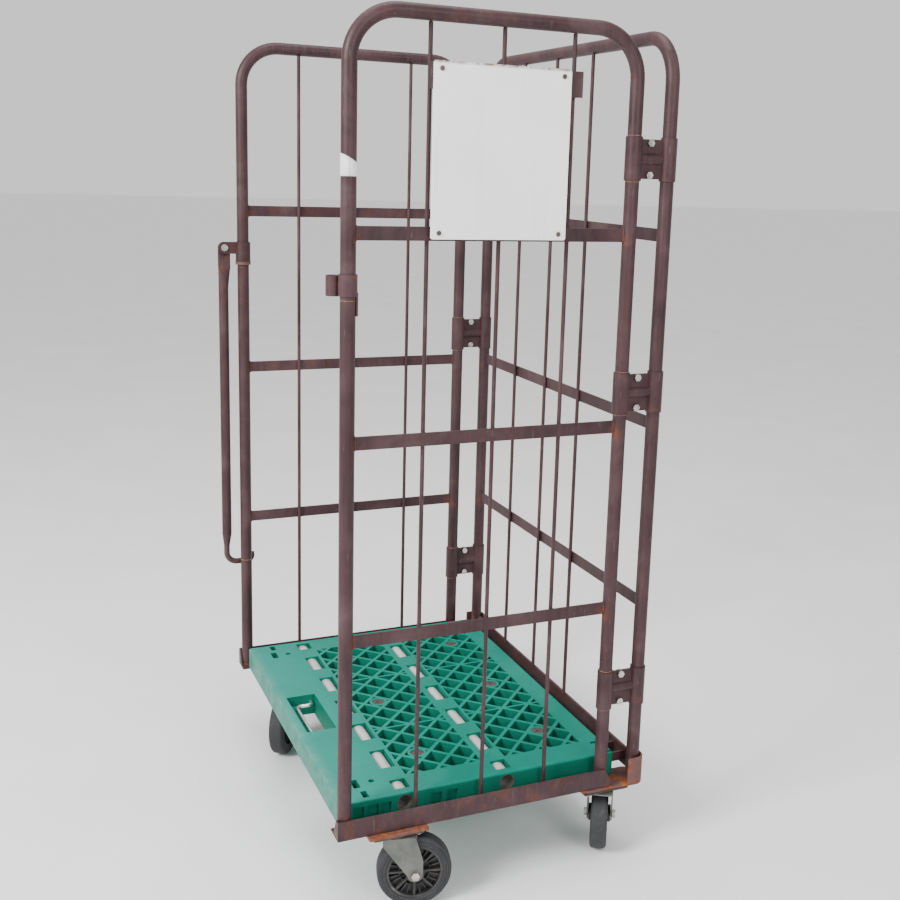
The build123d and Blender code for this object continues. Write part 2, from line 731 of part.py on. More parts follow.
hook_tip_y = front_post_y + 18.0
with BuildLine() as hook_path:
    FilletPolyline(
        (hook_x, latch_rivet_y, bar_taper_bottom),
        (hook_x, latch_rivet_y, hook_z),
        (hook_x, hook_tip_y, hook_z),
        (hook_x, hook_tip_y, hook_z + hook_tip_tall),
        radius=[hook_bend_r, hook_tip_bend_r],
    )
with BuildPart() as hook:
    with BuildSketch(Plane(origin=(hook_x, latch_rivet_y, bar_taper_bottom), z_dir=(0, 0, -1))):
        Circle(hook_rod_r)
    sweep(path=hook_path.line)
save(hook, "latch_hook")


# ---------------------------------------------------------------- caster mounts
pad_wide = 78.0
pad_long = 122.0
pad_round = 4.0
arm_wide = 104.0
arm_round = 8.0
arm_end_x = inboard_kingpin[0] + 42.0
with BuildPart() as caster_pad:
    with BuildSketch(Plane.XY.offset(plate_bottom_z)):
        with Locations((mount_x, front_kingpin[1])):
            RectangleRounded(pad_wide, pad_long, pad_round)
    extrude(amount=base_bottom_z - plate_bottom_z)
save(caster_pad, "right_caster_pad")

with BuildPart() as caster_arm:
    with BuildSketch(Plane.XY.offset(plate_bottom_z)):
        with Locations(((arm_end_x - base_outer_x) / 2, inboard_kingpin[1])):
            RectangleRounded(arm_end_x + base_outer_x, arm_wide, arm_round)
    extrude(amount=base_bottom_z - plate_bottom_z)
save(caster_arm, "left_caster_arm")


# ---------------------------------------------------------------- casters
def make_caster(name, kingpin, heading):
    """Low swivel caster; heading is the plan angle from the kingpin to the wheel, in degrees."""
    ahead = (math.cos(math.radians(heading)), math.sin(math.radians(heading)), 0)
    across = (-ahead[1], ahead[0], 0)
    hub_at = (kingpin[0] + caster_trail * ahead[0], kingpin[1] + caster_trail * ahead[1], wheel_r)
    level = Plane(origin=(kingpin[0], kingpin[1], 0), x_dir=ahead, z_dir=(0, 0, 1))
    cheek = Plane(origin=(kingpin[0], kingpin[1], 0), x_dir=ahead, z_dir=(ahead[1], -ahead[0], 0))
    radial = Plane(origin=hub_at, x_dir=across, z_dir=ahead)
    wheel_plane = Plane(origin=hub_at, x_dir=ahead, z_dir=across)
    spin_axis = Axis(hub_at, across)
    straight = Plane(origin=(kingpin[0], kingpin[1], 0), z_dir=(0, 0, 1))

    with BuildPart() as top_plate:
        with BuildSketch(straight.offset(top_plate_z)):
            RectangleRounded(caster_plate_wide, caster_plate_long, pad_round)
            Circle(kingpin_r, mode=Mode.SUBTRACT)
            with GridLocations(caster_bolt_wide, caster_bolt_long, 2, 2):
                Circle(caster_bolt_hole_r, mode=Mode.SUBTRACT)
        extrude(amount=plate_bottom_z - top_plate_z)
        with BuildSketch(level.offset(race_bottom_z)):
            Circle(race_r)
            Circle(kingpin_r, mode=Mode.SUBTRACT)
        extrude(amount=top_plate_z - race_bottom_z)
    save(top_plate, name + "_top_plate")

    with BuildPart() as plate_bolts:
        with BuildSketch(straight.offset(top_plate_z)):
            with GridLocations(caster_bolt_wide, caster_bolt_long, 2, 2):
                Circle(caster_bolt_r)
        extrude(amount=plate_bottom_z - top_plate_z)
        with BuildSketch(straight.offset(top_plate_z)):
            with GridLocations(caster_bolt_wide, caster_bolt_long, 2, 2):
                RegularPolygon(caster_bolt_flats, 6, major_radius=False)
        extrude(amount=-caster_bolt_head)
    save(plate_bolts, name + "_plate_bolts")

    with BuildPart() as kingpin_bolt:
        with BuildSketch(level.offset(kingpin_head_z)):
            RegularPolygon(kingpin_head_flats, 6, major_radius=False)
        extrude(amount=crown_bottom_z - running_gap - kingpin_head_z)
        with BuildSketch(level.offset(kingpin_head_z)):
            Circle(kingpin_r)
        extrude(amount=plate_bottom_z - kingpin_head_z - fixed_gap)
    save(kingpin_bolt, name + "_kingpin")

    with BuildPart() as fork:
        with BuildSketch(level.offset(crown_bottom_z)):
            with Locations((crown_middle, 0)):
                RectangleRounded(crown_long, 2 * (fork_inner + fork_sheet), crown_round)
        extrude(amount=crown_top_z - crown_bottom_z)
        for cheek_start in (fork_inner, -fork_inner - fork_sheet):
            with BuildSketch(cheek.offset(cheek_start)):
                with BuildLine():
                    Polyline(
                        (cheek_back, crown_top_z),
                        (caster_trail, crown_top_z),
                        (caster_trail + cheek_r, wheel_r + 2 * cheek_r),
                        (caster_trail + cheek_r, wheel_r),
                        (caster_trail - cheek_r + 1, wheel_r - 4),
                        (cheek_back, crown_bottom_z - cheek_back_tall),
                        close=True,
                    )
                make_face()
                with Locations((caster_trail, wheel_r)):
                    Circle(cheek_r)
                    Circle(axle_r, mode=Mode.SUBTRACT)
            extrude(amount=fork_sheet)
        with BuildSketch(level.offset(crown_bottom_z - 1)):
            Circle(kingpin_r + pin_clearance)
        extrude(amount=10, mode=Mode.SUBTRACT)
    save(fork, name + "_fork")

    with BuildPart() as hub:
        with BuildSketch(radial):
            with Locations((0, hub_r - rim_thick / 2)):
                Rectangle(rim_wide, rim_thick)
            with Locations((0, hub_r / 2)):
                Rectangle(web_thick, hub_r - rim_thick / 2)
            with Locations((0, boss_r / 2)):
                Rectangle(2 * fork_inner - 1, boss_r)
            with Locations((0, (axle_r + pin_clearance) / 2)):
                Rectangle(2 * fork_inner + 4, axle_r + pin_clearance, mode=Mode.SUBTRACT)
        revolve(axis=spin_axis)
        with BuildSketch(wheel_plane.offset(-spoke_wide / 2)):
            with PolarLocations(spoke_middle_r, spoke_count):
                Rectangle(spoke_long, spoke_thick)
        extrude(amount=spoke_wide)
    save(hub, name + "_hub")

    with BuildPart() as tyre:
        with BuildSketch(radial):
            with Locations((0, (wheel_r + hub_r) / 2 + 0.02)):
                Rectangle(tread_wide, wheel_r - hub_r - 0.04)
            fillet(vertices().group_by(Axis.Z)[-1], radius=tyre_shoulder_r)
        revolve(axis=spin_axis)
    save(tyre, name + "_tyre")

    fork_outer = fork_inner + fork_sheet
    with BuildPart() as axle:
        with BuildSketch(wheel_plane.offset(-fork_outer - axle_nut_thick)):
            Circle(axle_r)
        extrude(amount=2 * (fork_outer + axle_nut_thick))
        for start in (-fork_outer - axle_nut_thick, fork_outer):
            with BuildSketch(wheel_plane.offset(start)):
                RegularPolygon(axle_nut_flats, 6, major_radius=False)
            extrude(amount=axle_nut_thick)
    save(axle, name + "_axle")


make_caster("caster_front_right", front_kingpin, 76)
make_caster("caster_front_left", inboard_kingpin, -32)
make_caster("caster_rear_right", (rear_kingpin_x, rear_kingpin_y), 149)
make_caster("caster_rear_left", (-rear_kingpin_x, rear_kingpin_y), 35)
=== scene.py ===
import json
import math
import random

import bmesh
import bpy
from mathutils import Matrix, Vector


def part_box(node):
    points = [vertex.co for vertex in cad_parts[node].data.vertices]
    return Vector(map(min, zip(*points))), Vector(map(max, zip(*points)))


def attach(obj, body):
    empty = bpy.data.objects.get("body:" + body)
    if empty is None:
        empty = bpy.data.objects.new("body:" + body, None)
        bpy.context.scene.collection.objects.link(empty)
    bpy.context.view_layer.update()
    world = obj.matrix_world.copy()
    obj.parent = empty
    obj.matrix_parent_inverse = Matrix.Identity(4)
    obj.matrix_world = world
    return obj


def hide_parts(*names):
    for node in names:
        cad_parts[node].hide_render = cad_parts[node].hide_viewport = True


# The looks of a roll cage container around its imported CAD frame. Metres, +Z up, open front towards -Y.
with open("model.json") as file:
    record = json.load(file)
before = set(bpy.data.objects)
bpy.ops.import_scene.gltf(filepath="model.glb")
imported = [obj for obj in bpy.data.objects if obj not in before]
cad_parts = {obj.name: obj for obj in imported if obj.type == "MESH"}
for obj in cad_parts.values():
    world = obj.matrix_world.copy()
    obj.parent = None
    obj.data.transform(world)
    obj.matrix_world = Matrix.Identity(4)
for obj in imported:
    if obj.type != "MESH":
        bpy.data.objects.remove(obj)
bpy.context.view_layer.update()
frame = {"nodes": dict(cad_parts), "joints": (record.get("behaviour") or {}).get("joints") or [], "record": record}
dice = random.Random(7)

BODY_OF = {node: body for body, nodes in frame["record"]["behaviour"]["bodies"].items() for node in nodes}
CASTERS = ("caster_front_right", "caster_front_left", "caster_rear_right", "caster_rear_left")


# ---------------------------------------------------------------- camera, light and floor
CAMERA_AT = Vector((2.3972, -0.8992, 1.4274))
CAMERA_YAW = math.radians(65.41)
CAMERA_PITCH = math.radians(11.62)
CAMERA_ROLL = math.radians(1.93)
# Focal length and picture centre as shares of the picture's width and height.
FOCAL_SHARE = 1.306889
CENTRE_SHARE = (0.557, 0.457444)
SENSOR = 36.0
FLOOR_SIZE = 45
WORLD_STRENGTH = 0.95


def make_camera():
    """Camera at the picture's viewpoint: yaw is measured from +Y towards -X."""
    yaw, pitch, roll = CAMERA_YAW, CAMERA_PITCH, CAMERA_ROLL
    ahead = Vector((-math.sin(yaw) * math.cos(pitch), math.cos(yaw) * math.cos(pitch), -math.sin(pitch)))
    level = Vector((math.cos(yaw), math.sin(yaw), 0))
    up = level.cross(ahead)
    right = level * math.cos(roll) + up * math.sin(roll)
    top = up * math.cos(roll) - level * math.sin(roll)
    data = bpy.data.cameras.new("camera")
    data.sensor_width = SENSOR
    data.lens = SENSOR * FOCAL_SHARE
    data.shift_x = 0.5 - CENTRE_SHARE[0]
    data.shift_y = CENTRE_SHARE[1] - 0.5
    data.clip_end = 120
    camera = bpy.data.objects.new("camera", data)
    camera.matrix_world = Matrix((right, top, -ahead)).transposed().to_4x4()
    camera.location = CAMERA_AT
    bpy.context.scene.collection.objects.link(camera)
    bpy.context.scene.camera = camera


def make_light(name, at, aim, size, power, colour=(1, 1, 1)):
    """Soft square area light."""
    data = bpy.data.lights.new(name, "AREA")
    data.size = size
    data.energy = power
    data.color = colour
    lamp = bpy.data.objects.new(name, data)
    lamp.location = at
    lamp.rotation_euler = (Vector(aim) - Vector(at)).to_track_quat("-Z", "Y").to_euler()
    bpy.context.scene.collection.objects.link(lamp)


def make_stage():
    """Plain pale floor with soft, even studio light."""
    mesh = bmesh.new()
    bmesh.ops.create_grid(mesh, x_segments=2, y_segments=2, size=FLOOR_SIZE)
    data = bpy.data.meshes.new("floor")
    mesh.to_mesh(data)
    mesh.free()
    floor = bpy.data.objects.new("floor", data)
    bpy.context.scene.collection.objects.link(floor)
    shade = Shade("floor_paint")
    grain = shade.noise(3.0, 2)
    shade.colour(shade.levels(grain, (0.3, 0.86), (0.7, 0.90)))
    shade.rough(shade.levels(grain, (0, 0.85), (1, 0.95)))
    floor.data.materials.append(shade.material)
    world = bpy.data.worlds.new("studio")
    bpy.context.scene.world = world
    world.use_nodes = True
    world.node_tree.nodes["Background"].inputs[0].default_value = (1, 1, 1, 1)
    world.node_tree.nodes["Background"].inputs[1].default_value = WORLD_STRENGTH
    make_light("key", (1.4, -3.6, 3.0), (0, 0, 0.8), 1.5, 250)
    make_light("side", (4.2, 0.6, 2.4), (0, 0, 0.8), 1.2, 60)
    make_light("top", (0, 0, 4.4), (0, 0, 0), 2.0, 70)


# ---------------------------------------------------------------- materials
class Shade:
    """A small builder for one procedural material, mapped on the object's own rest coordinates."""

    def __init__(self, name):
        self.material = bpy.data.materials.new(name)
        self.material.use_nodes = True
        self.nodes = self.material.node_tree.nodes
        self.links = self.material.node_tree.links
        self.bsdf = self.nodes["Principled BSDF"]
        self.place = self.nodes.new("ShaderNodeTexCoord").outputs["Object"]

    def link(self, source, target):
        self.links.new(source, target)

    def stretched(self, scale):
        """Object coordinates scaled on each axis, for streaks and scratches."""
        node = self.nodes.new("ShaderNodeMapping")
        node.inputs["Scale"].default_value = scale
        self.link(self.place, node.inputs["Vector"])
        return node.outputs[0]

    def noise(self, scale, detail=4, roughness=0.55, distortion=0.0, place=None):
        node = self.nodes.new("ShaderNodeTexNoise")
        node.inputs["Scale"].default_value = scale
        node.inputs["Detail"].default_value = detail
        node.inputs["Roughness"].default_value = roughness
        node.inputs["Distortion"].default_value = distortion
        self.link(place or self.place, node.inputs["Vector"])
        return node.outputs["Fac"]

    def ramp(self, factor, stops):
        node = self.nodes.new("ShaderNodeValToRGB")
        self.link(factor, node.inputs[0])
        line = node.color_ramp.elements
        while len(line) < len(stops):
            line.new(0.5)
        for element, (at, colour) in zip(line, stops):
            element.position = at
            element.color = (*colour, 1)
        return node.outputs[0]

    def levels(self, factor, *stops):
        """Grey ramp through pairs of position and level."""
        return self.ramp(factor, [(at, (level,) * 3) for at, level in stops])

    def band(self, factor, low, high):
        """0 below low, rising to 1 at high."""
        return self.levels(factor, (low, 0), (high, 1))

    def math(self, kind, first, second=None):
        node = self.nodes.new("ShaderNodeMath")
        node.operation = kind
        node.use_clamp = True
        for socket, value in zip(node.inputs, (first, second)):
            if value is None:
                continue
            if isinstance(value, (int, float)):
                socket.default_value = value
            else:
                self.link(value, socket)
        return node.outputs[0]

    def times(self, first, second):
        return self.math("MULTIPLY", first, second)

    def larger(self, first, second):
        return self.math("MAXIMUM", first, second)

    def fade(self, axis, start, end):
        """0 at start and 1 at end along one axis of the rest coordinates."""
        split = self.nodes.new("ShaderNodeSeparateXYZ")
        self.link(self.place, split.inputs[0])
        node = self.nodes.new("ShaderNodeMapRange")
        self.link(split.outputs["XYZ".index(axis)], node.inputs["Value"])
        node.inputs["From Min"].default_value = start
        node.inputs["From Max"].default_value = end
        return node.outputs[0]

    def facing_up(self, low=0.3, high=0.9):
        """1 on faces that look up, 0 on the others."""
        coords = self.nodes.new("ShaderNodeTexCoord")
        split = self.nodes.new("ShaderNodeSeparateXYZ")
        self.link(coords.outputs["Normal"], split.inputs[0])
        node = self.nodes.new("ShaderNodeMapRange")
        self.link(split.outputs[2], node.inputs["Value"])
        node.inputs["From Min"].default_value = low
        node.inputs["From Max"].default_value = high
        return node.outputs[0]

    def near(self, points, radius):
        """1 close to any of the points, fading to 0 at radius."""
        total = None
        for point in points:
            gap = self.nodes.new("ShaderNodeVectorMath")
            gap.operation = "DISTANCE"
            self.link(self.place, gap.inputs[0])
            gap.inputs[1].default_value = point
            node = self.nodes.new("ShaderNodeMapRange")
            self.link(gap.outputs["Value"], node.inputs["Value"])
            node.inputs["From Min"].default_value = radius
            node.inputs["From Max"].default_value = radius * 0.25
            total = node.outputs[0] if total is None else self.larger(total, node.outputs[0])
        return total

    def mix(self, factor, first, second):
        node = self.nodes.new("ShaderNodeMix")
        node.data_type = "RGBA"
        self.link(factor, node.inputs[0])
        for socket, value in zip((node.inputs[6], node.inputs[7]), (first, second)):
            if isinstance(value, tuple):
                socket.default_value = (*value, 1)
            else:
                self.link(value, socket)
        return node.outputs[2]

    def colour(self, source):
        self.link(source, self.bsdf.inputs["Base Color"])

    def rough(self, source):
        self.link(source, self.bsdf.inputs["Roughness"])

    def bump(self, height, strength, distance=0.001):
        node = self.nodes.new("ShaderNodeBump")
        node.inputs["Strength"].default_value = strength
        node.inputs["Distance"].default_value = distance
        self.link(height, node.inputs["Height"])
        self.link(node.outputs[0], self.bsdf.inputs["Normal"])


PAINT_DARK = (0.027, 0.0112, 0.0138)
PAINT = (0.046, 0.0198, 0.0228)
PAINT_PALE = (0.090, 0.051, 0.055)
RUST_DARK = (0.050, 0.017, 0.009)
RUST = (0.19, 0.052, 0.014)
RUST_PALE = (0.34, 0.125, 0.042)


def make_paint(
    name, rust_spots=(), rust_reach=0.05, rust_share=0.46, low_rust=0.30, spot_rust=0.50, greyed=0.0
):
    """Old mauve-brown enamel: brush streaks, chips, scratches, and rust at joints and near the floor."""
    shade = Shade(name)
    cloud = shade.noise(9, 5, 0.6, 0.4)
    streak = shade.noise(1.0, 6, 0.65, 0.3, shade.stretched((90, 90, 9)))
    base = shade.ramp(cloud, [(0.30, PAINT_DARK), (0.52, PAINT), (0.80, PAINT_PALE)])
    worn = shade.band(streak, 0.46, 0.72)
    base = shade.mix(shade.times(worn, 0.30), base, PAINT_PALE)
    scratch = shade.noise(1.0, 3, 0.5, 0.2, shade.stretched((260, 260, 24)))
    scratched = shade.band(scratch, 0.68, 0.72)
    base = shade.mix(shade.times(scratched, 0.24), base, (0.22, 0.165, 0.155))
    if greyed:
        bare = shade.levels(cloud, (0.3, 0.6), (0.7, 1))
        base = shade.mix(shade.times(bare, greyed), base, (0.050, 0.043, 0.045))
    patch = shade.noise(26, 8, 0.72, 0.6)
    where = shade.levels(shade.noise(3.2, 3), (0.52, 0), (0.85, 0.3))
    if rust_spots:
        where = shade.larger(where, shade.times(shade.near(rust_spots, rust_reach), spot_rust))
    if low_rust:
        where = shade.larger(where, shade.times(shade.fade("Z", 0.26, 0.17), low_rust))
    amount = shade.times(where, shade.band(patch, rust_share, rust_share + 0.14))
    speckle = shade.noise(140, 6, 0.7)
    rust = shade.ramp(speckle, [(0.30, RUST_DARK), (0.52, RUST), (0.78, RUST_PALE)])
    shade.colour(shade.mix(amount, base, rust))
    gloss = shade.levels(cloud, (0.25, 0.36), (0.8, 0.58))
    shade.rough(shade.mix(amount, gloss, (0.9, 0.9, 0.9)))
    relief = shade.math("ADD", shade.times(streak, 0.5), shade.times(amount, 0.6))
    shade.bump(relief, 0.35, 0.0012)
    shade.bsdf.inputs["Specular IOR Level"].default_value = 0.28
    return shade.material


def make_rusty(name):
    """Orange-brown surface rust with islands of old paint."""
    shade = Shade(name)
    speckle = shade.noise(90, 8, 0.72)
    rust = shade.ramp(speckle, [(0.28, RUST_DARK), (0.50, RUST), (0.76, RUST_PALE)])
    island = shade.band(shade.noise(30, 6, 0.65, 0.5), 0.42, 0.56)
    shade.colour(shade.mix(shade.times(island, 0.82), rust, PAINT_PALE))
    shade.rough(shade.levels(speckle, (0.2, 0.75), (0.8, 0.95)))
    shade.bump(speckle, 0.6, 0.0014)
    return shade.material


def make_rubbed(name):
    """Tan bare metal where a sleeve has worn the enamel away."""
    shade = Shade(name)
    speckle = shade.noise(120, 5, 0.6)
    shade.colour(shade.ramp(speckle, [(0.35, (0.14, 0.055, 0.022)), (0.62, (0.34, 0.185, 0.085))]))
    shade.rough(shade.levels(speckle, (0.2, 0.55), (0.8, 0.8)))
    shade.bump(speckle, 0.3, 0.0006)
    return shade.material


DECK_GREEN = (0.001, 0.160, 0.112)
DECK_PALE = (0.003, 0.215, 0.160)
# Darker, more saturated greens for the side faces: painted shade.
DECK_SHADE_DEEP = (0.001, 0.130, 0.082)
DECK_SHADE_SIDE = (0.001, 0.155, 0.100)


def make_deck_plastic():
    """Moulded green plastic: scuffed chalky top, dust along the front edge; painted shade on the darker, saturated
    sides and pocket floors.
    """
    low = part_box("deck_board")[0]
    shade = Shade("deck_plastic_worn_painted_shade")
    cloud = shade.noise(7, 6, 0.62, 0.5)
    top = shade.ramp(cloud, [(0.28, DECK_GREEN), (0.75, DECK_PALE)])
    # Side faces take a darker, shaded copy of the top green: painted shade.
    side = shade.ramp(cloud, [(0.25, DECK_SHADE_DEEP), (0.8, DECK_SHADE_SIDE)])
    # Up-facing faces near the bottom of the board, the pocket floors, turn dark grey-green: painted shade.
    pocket_floor_shade = shade.times(shade.fade("Z", low.z + 0.018, low.z + 0.006), 0.75)
    top = shade.mix(pocket_floor_shade, top, (0.075, 0.095, 0.070))
    up = shade.facing_up()
    base = shade.mix(up, side, top)
    scuff = shade.noise(1.0, 7, 0.7, 0.4, shade.stretched((16, 140, 30)))
    cross = shade.noise(1.0, 7, 0.7, 0.4, shade.stretched((150, 14, 30)))
    marks = shade.larger(scuff, cross)
    marked = shade.times(shade.band(marks, 0.60, 0.80), 0.35)
    base = shade.mix(marked, base, (0.020, 0.30, 0.245))
    chalk = shade.times(shade.fade("Y", low.y + 0.26, low.y + 0.03), shade.times(up, 0.34))
    base = shade.mix(chalk, base, (0.055, 0.315, 0.270))
    near_front = shade.fade("Y", low.y + 0.024, low.y + 0.003)
    dusty = shade.times(near_front, shade.levels(shade.noise(34, 7, 0.7), (0.30, 0.1), (0.62, 1)))
    base = shade.mix(shade.times(dusty, 0.50), base, (0.15, 0.33, 0.285))
    grime = shade.band(shade.noise(55, 6, 0.7), 0.60, 0.74)
    base = shade.mix(shade.times(grime, 0.22), base, (0.05, 0.13, 0.10))
    shade.colour(base)
    shade.rough(shade.levels(marks, (0.3, 0.42), (0.8, 0.62)))
    shade.bump(shade.math("ADD", shade.times(marks, 0.5), shade.noise(300, 2)), 0.12, 0.0006)
    shade.bsdf.inputs["Specular IOR Level"].default_value = 0.12
    return shade.material


def make_steel(name, dark, pale, rough_low, rough_high, metallic, rust=0.0, blotch=18, darker_ends=0.0):
    """Zinc or galvanised steel with cloudy spangle, fine scratches and a little rust."""
    shade = Shade(name)
    cloud = shade.noise(blotch, 6, 0.65, 0.4)
    fine = shade.noise(1.0, 5, 0.7, 0.2, shade.stretched((220, 220, 40)))
    base = shade.ramp(cloud, [(0.28, dark), (0.74, pale)])
    lines = shade.band(fine, 0.60, 0.72)
    base = shade.mix(shade.times(lines, 0.35), base, tuple(min(1.0, c * 1.35) for c in pale))
    # Colour turns dark tan towards both ends of the tubes along X.
    if darker_ends:
        right_end = shade.fade("X", darker_ends - 0.03, darker_ends)
        left_end = shade.fade("X", 0.03 - darker_ends, -darker_ends)
        ends = shade.larger(right_end, left_end)
        base = shade.mix(shade.times(ends, 0.9), base, (0.115, 0.098, 0.078))
    patch = shade.band(shade.noise(46, 7, 0.72), 0.62 - rust, 0.74 - rust)
    amount = shade.times(patch, min(1.0, rust * 4))
    shade.colour(shade.mix(amount, base, RUST))
    gloss = shade.levels(cloud, (0.2, rough_low), (0.8, rough_high))
    shade.rough(shade.mix(amount, gloss, (0.9,) * 3))
    shade.bump(shade.math("ADD", fine, cloud), 0.10, 0.0006)
    shade.bsdf.inputs["Metallic"].default_value = metallic
    return shade.material


def make_rubber():
    """Scuffed black tyre rubber, greyer where dust sits."""
    shade = Shade("tyre_rubber_worn")
    cloud = shade.noise(22, 7, 0.7, 0.3)
    fine = shade.noise(160, 5, 0.7)
    stops = [(0.30, (0.010, 0.010, 0.012)), (0.62, (0.024, 0.024, 0.027)), (0.82, (0.070, 0.070, 0.074))]
    base = shade.ramp(cloud, stops)
    dust = shade.band(fine, 0.52, 0.75)
    shade.colour(shade.mix(shade.times(dust, 0.16), base, (0.13, 0.13, 0.135)))
    shade.rough(shade.levels(cloud, (0.2, 0.55), (0.8, 0.80)))
    shade.bump(shade.math("ADD", fine, cloud), 0.3, 0.0008)
    return shade.material


def make_hub_plastic():
    """Black moulding with brown dust caught in the hollows."""
    shade = Shade("hub_plastic_worn")
    cloud = shade.noise(40, 7, 0.7)
    stops = [(0.35, (0.010, 0.010, 0.011)), (0.60, (0.035, 0.033, 0.032)), (0.80, (0.15, 0.13, 0.11))]
    shade.colour(shade.ramp(cloud, stops))
    shade.rough(shade.levels(cloud, (0.2, 0.35), (0.8, 0.75)))
    shade.bump(cloud, 0.35, 0.001)
    return shade.material


def make_sign_white():
    """Plain white sheet with faint smudges and a rusty top edge."""
    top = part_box("sign_board")[1].z
    shade = Shade("sign_white_worn")
    cloud = shade.noise(6, 6, 0.65, 0.6)
    base = shade.ramp(cloud, [(0.3, (0.88, 0.89, 0.90)), (0.7, (0.96, 0.96, 0.96))])
    drip = shade.noise(1.0, 6, 0.7, 0.2, shade.stretched((40, 60, 5)))
    stained = shade.band(drip, 0.56, 0.80)
    base = shade.mix(shade.times(stained, 0.18), base, (0.45, 0.40, 0.36))
    edge = shade.fade("Z", top - 0.006, top - 0.0015)
    edge = shade.times(edge, shade.levels(shade.noise(60, 6, 0.7), (0.35, 0.2), (0.6, 1)))
    shade.colour(shade.mix(edge, base, (0.16, 0.09, 0.06)))
    shade.rough(shade.levels(cloud, (0.2, 0.30), (0.8, 0.48)))
    shade.bump(shade.noise(12, 3), 0.08, 0.002)
    return shade.material


def make_tape_white():
    """Thin paper tape, creased and slightly soiled."""
    shade = Shade("tape_white")
    cloud = shade.noise(50, 6, 0.65, 0.4)
    shade.colour(shade.ramp(cloud, [(0.3, (0.70, 0.70, 0.71)), (0.7, (0.88, 0.88, 0.88))]))
    shade.rough(shade.levels(cloud, (0.2, 0.6), (0.8, 0.8)))
    shade.bump(shade.noise(1.0, 5, 0.6, 0.2, shade.stretched((120, 120, 300))), 0.3, 0.0006)
    return shade.material


# ---------------------------------------------------------------- mesh helpers
def new_object(name, mesh, material, body, smooth=True):
    """Turn a finished bmesh into a piece that rides on a body."""
    data = bpy.data.meshes.new(name)
    mesh.to_mesh(data)
    mesh.free()
    if smooth:
        for face in data.polygons:
            face.use_smooth = True
    data.materials.append(material)
    piece = bpy.data.objects.new(name, data)
    bpy.context.scene.collection.objects.link(piece)
    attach(piece, body)
    return piece


def loose_boxes(node):
    """Boxes of the separate solids in one CAD node, lowest first."""
    mesh = bmesh.new()
    mesh.from_mesh(frame["nodes"][node].data)
    bmesh.ops.remove_doubles(mesh, verts=mesh.verts, dist=1e-5)
    seen = set()
    boxes = []
    for start in mesh.verts:
        if start in seen:
            continue
        seen.add(start)
        stack = [start]
        points = []
        while stack:
            vert = stack.pop()
            points.append(vert.co.copy())
            for edge in vert.link_edges:
                other = edge.other_vert(vert)
                if other not in seen:
                    seen.add(other)
                    stack.append(other)
        low = Vector(tuple(min(p[i] for p in points) for i in range(3)))
        high = Vector(tuple(max(p[i] for p in points) for i in range(3)))
        boxes.append((low, high))
    mesh.free()
    return sorted(boxes, key=lambda pair: (round(pair[0].z, 3), pair[0].y, pair[0].x))


def soften(node, width, material, angle=28, segments=2):
    """A copy of a CAD node with its edges rounded, shown in the node's place."""
    mesh = bmesh.new()
    mesh.from_mesh(frame["nodes"][node].data)
    bmesh.ops.remove_doubles(mesh, verts=mesh.verts, dist=1e-5)
    bmesh.ops.dissolve_limit(mesh, angle_limit=math.radians(0.6), verts=mesh.verts, edges=mesh.edges)
    piece = new_object(node + "_finished", mesh, material, BODY_OF[node])
    bevel = piece.modifiers.new("edges", "BEVEL")
    bevel.width = width
    bevel.segments = segments
    bevel.limit_method = "ANGLE"
    bevel.angle_limit = math.radians(angle)
    bevel.use_clamp_overlap = True
    normals = piece.modifiers.new("normals", "WEIGHTED_NORMAL")
    normals.keep_sharp = True
    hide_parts(node)
    return piece


def bake_modifiers(piece):
    """Apply a piece's modifiers so that its mesh is final."""
    graph = bpy.context.evaluated_depsgraph_get()
    data = bpy.data.meshes.new_from_object(piece.evaluated_get(graph))
    piece.modifiers.clear()
    piece.data = data


def add_bead(mesh, start, end, radius, seed, lumps=9, sides=8):
    """Lumpy weld bead between two points."""
    roll = random.Random(seed)
    axis = (end - start).normalized()
    side = axis.orthogonal().normalized()
    other = axis.cross(side)
    rings = []
    for step in range(lumps + 1):
        share = step / lumps
        swell = math.sin(math.pi * min(max(share, 0.04), 0.96)) ** 0.35 * (0.82 + 0.3 * roll.random())
        centre = start.lerp(end, share) + side * radius * 0.15 * (roll.random() - 0.5)
        ring = []
        for turn in range(sides):
            angle = 2 * math.pi * turn / sides
            reach = radius * swell * (0.92 + 0.16 * roll.random())
            ring.append(mesh.verts.new(centre + (side * math.cos(angle) + other * math.sin(angle)) * reach))
        rings.append(ring)
    for first, second in zip(rings, rings[1:]):
        for turn in range(sides):
            after = (turn + 1) % sides
            mesh.faces.new((first[turn], first[after], second[after], second[turn]))
    mesh.faces.new(list(reversed(rings[0])))
    mesh.faces.new(rings[-1])


def add_ring_bead(mesh, centre, ring_r, radius, seed, turns=28, sides=7):
    """Lumpy ring round an upright tube: a weld at its foot or a worn line."""
    roll = random.Random(seed)
    rings = []
    for step in range(turns):
        angle = 2 * math.pi * step / turns
        out = Vector((math.cos(angle), math.sin(angle), 0))
        reach = radius * (0.8 + 0.45 * roll.random())
        ring = []
        for turn in range(sides):
            spin = 2 * math.pi * turn / sides
            offset = out * math.cos(spin) * reach + Vector((0, 0, 1)) * math.sin(spin) * reach
            ring.append(mesh.verts.new(centre + out * ring_r + offset))
        rings.append(ring)
    for step in range(turns):
        first, second = rings[step], rings[(step + 1) % turns]
        for turn in range(sides):
            after = (turn + 1) % sides
            mesh.faces.new((first[turn], first[after], second[after], second[turn]))


